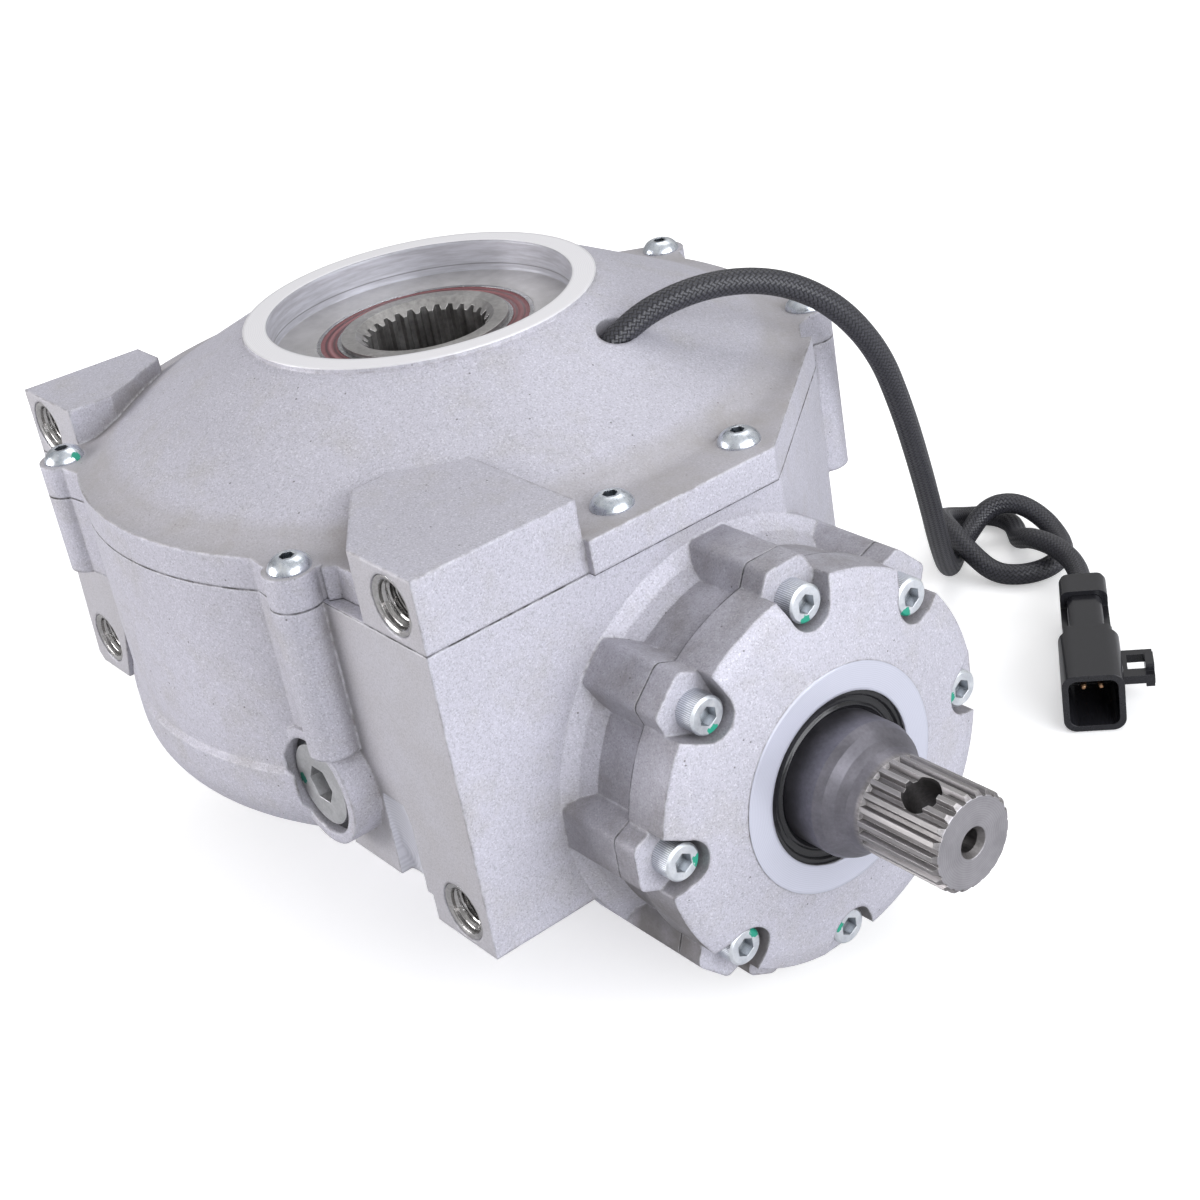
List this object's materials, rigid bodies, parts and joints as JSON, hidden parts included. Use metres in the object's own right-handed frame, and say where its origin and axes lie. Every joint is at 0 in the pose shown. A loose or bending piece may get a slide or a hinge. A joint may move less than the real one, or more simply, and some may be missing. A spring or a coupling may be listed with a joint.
{
  "type": "front differential",
  "caption": "Cast front differential with bevel gears, a roller clutch engaged by a coil, splined hubs above and below, a splined input shaft and a lead with a plug.",
  "frame": {"origin": "centre of the lower output's machined face, on the output axis, where the part stands", "axes": "+Z along the output axis, up to the upper output; +X along the input shaft, away from the case; -Y out of the mounting face"},
  "size_m": [0.253, 0.271, 0.1392],
  "materials": {
    "cast_aluminium": "as cast, fine grain",
    "machined_aluminium": "turned",
    "zinc_steel": "zinc plated",
    "insert_steel": "threaded, bright",
    "bearing_steel": "ground",
    "gear_steel": "machined and oiled",
    "black_rubber": "matt",
    "rose_rubber": "moulded with fine grooves",
    "black_braid": "braided sleeve",
    "black_plastic": "moulded, satin",
    "copper": "drawn",
    "bronze": "sintered"
  },
  "bodies": {
    "housing": {"main_case": "cast_aluminium", "output_cover": "cast_aluminium", "pinion_cover": "cast_aluminium", "case_seal_ring": "black_rubber", "nose_seal_ring": "black_rubber", "cover_screws": "zinc_steel", "pinion_cover_screws": "zinc_steel", "threaded_inserts": "insert_steel", "fill_plug": "machined_aluminium", "fill_plug_seal": "black_rubber", "drain_plug": "machined_aluminium", "input_seal": "black_rubber", "upper_bearing_outer_race": "bearing_steel", "upper_bearing_seals": "rose_rubber", "lower_bearing_outer_race": "bearing_steel", "lower_bearing_seals": "rose_rubber", "pinion_bearing_outer_races": "bearing_steel", "coil_shell": "gear_steel", "coil_winding": "copper", "cord_sleeve": "black_braid", "cord_grommet": "black_rubber", "connector_body": "black_plastic", "connector_lock": "black_plastic", "connector_terminals": "copper", "ring_gear_bushing": "bronze", "housing_bushing": "bronze", "bearing_spacer": "bearing_steel"},
    "ring_gear": {"ring_gear": "gear_steel"},
    "input_shaft": {"pinion_shaft": "gear_steel", "pinion_bearing_inner_races": "bearing_steel", "pinion_bearing_balls": "bearing_steel", "shaft_retaining_ring": "gear_steel"},
    "upper_output": {"upper_output_hub": "gear_steel", "upper_bearing_inner_race": "bearing_steel"},
    "lower_output": {"lower_output_hub": "gear_steel", "lower_bearing_inner_race": "bearing_steel", "hub_thrust_washer": "bronze"},
    "clutch_cage": {"roll_cage": "gear_steel", "rollers": "bearing_steel"},
    "armature": {"armature_plate": "gear_steel"}
  },
  "joints": [
    {"name": "ring_gear_spin", "type": "hinge", "parent": "housing", "child": "ring_gear", "pos_m": [0, 0, 0.055], "axis": [0, 0, 1], "continuous": true},
    {"name": "input_spin", "type": "hinge", "parent": "housing", "child": "input_shaft", "pos_m": [0, 0, 0.055], "axis": [1, 0, 0], "continuous": true},
    {"name": "upper_output_spin", "type": "hinge", "parent": "housing", "child": "upper_output", "pos_m": [0, 0, 0.055], "axis": [0, 0, 1], "continuous": true},
    {"name": "lower_output_spin", "type": "hinge", "parent": "housing", "child": "lower_output", "pos_m": [0, 0, 0.055], "axis": [0, 0, 1], "continuous": true},
    {"name": "cage_shift", "type": "hinge", "parent": "ring_gear", "child": "clutch_cage", "pos_m": [0, 0, 0.055], "axis": [0, 0, 1], "range_deg": [-4, 4]},
    {"name": "armature_pull", "type": "slide", "parent": "clutch_cage", "child": "armature", "axis": [0, 0, 1], "range_m": [0, 0.0005]}
  ],
  "couplings": [
    {"joint": "input_spin", "follows": "ring_gear_spin", "ratio": -3.8182}
  ]
}
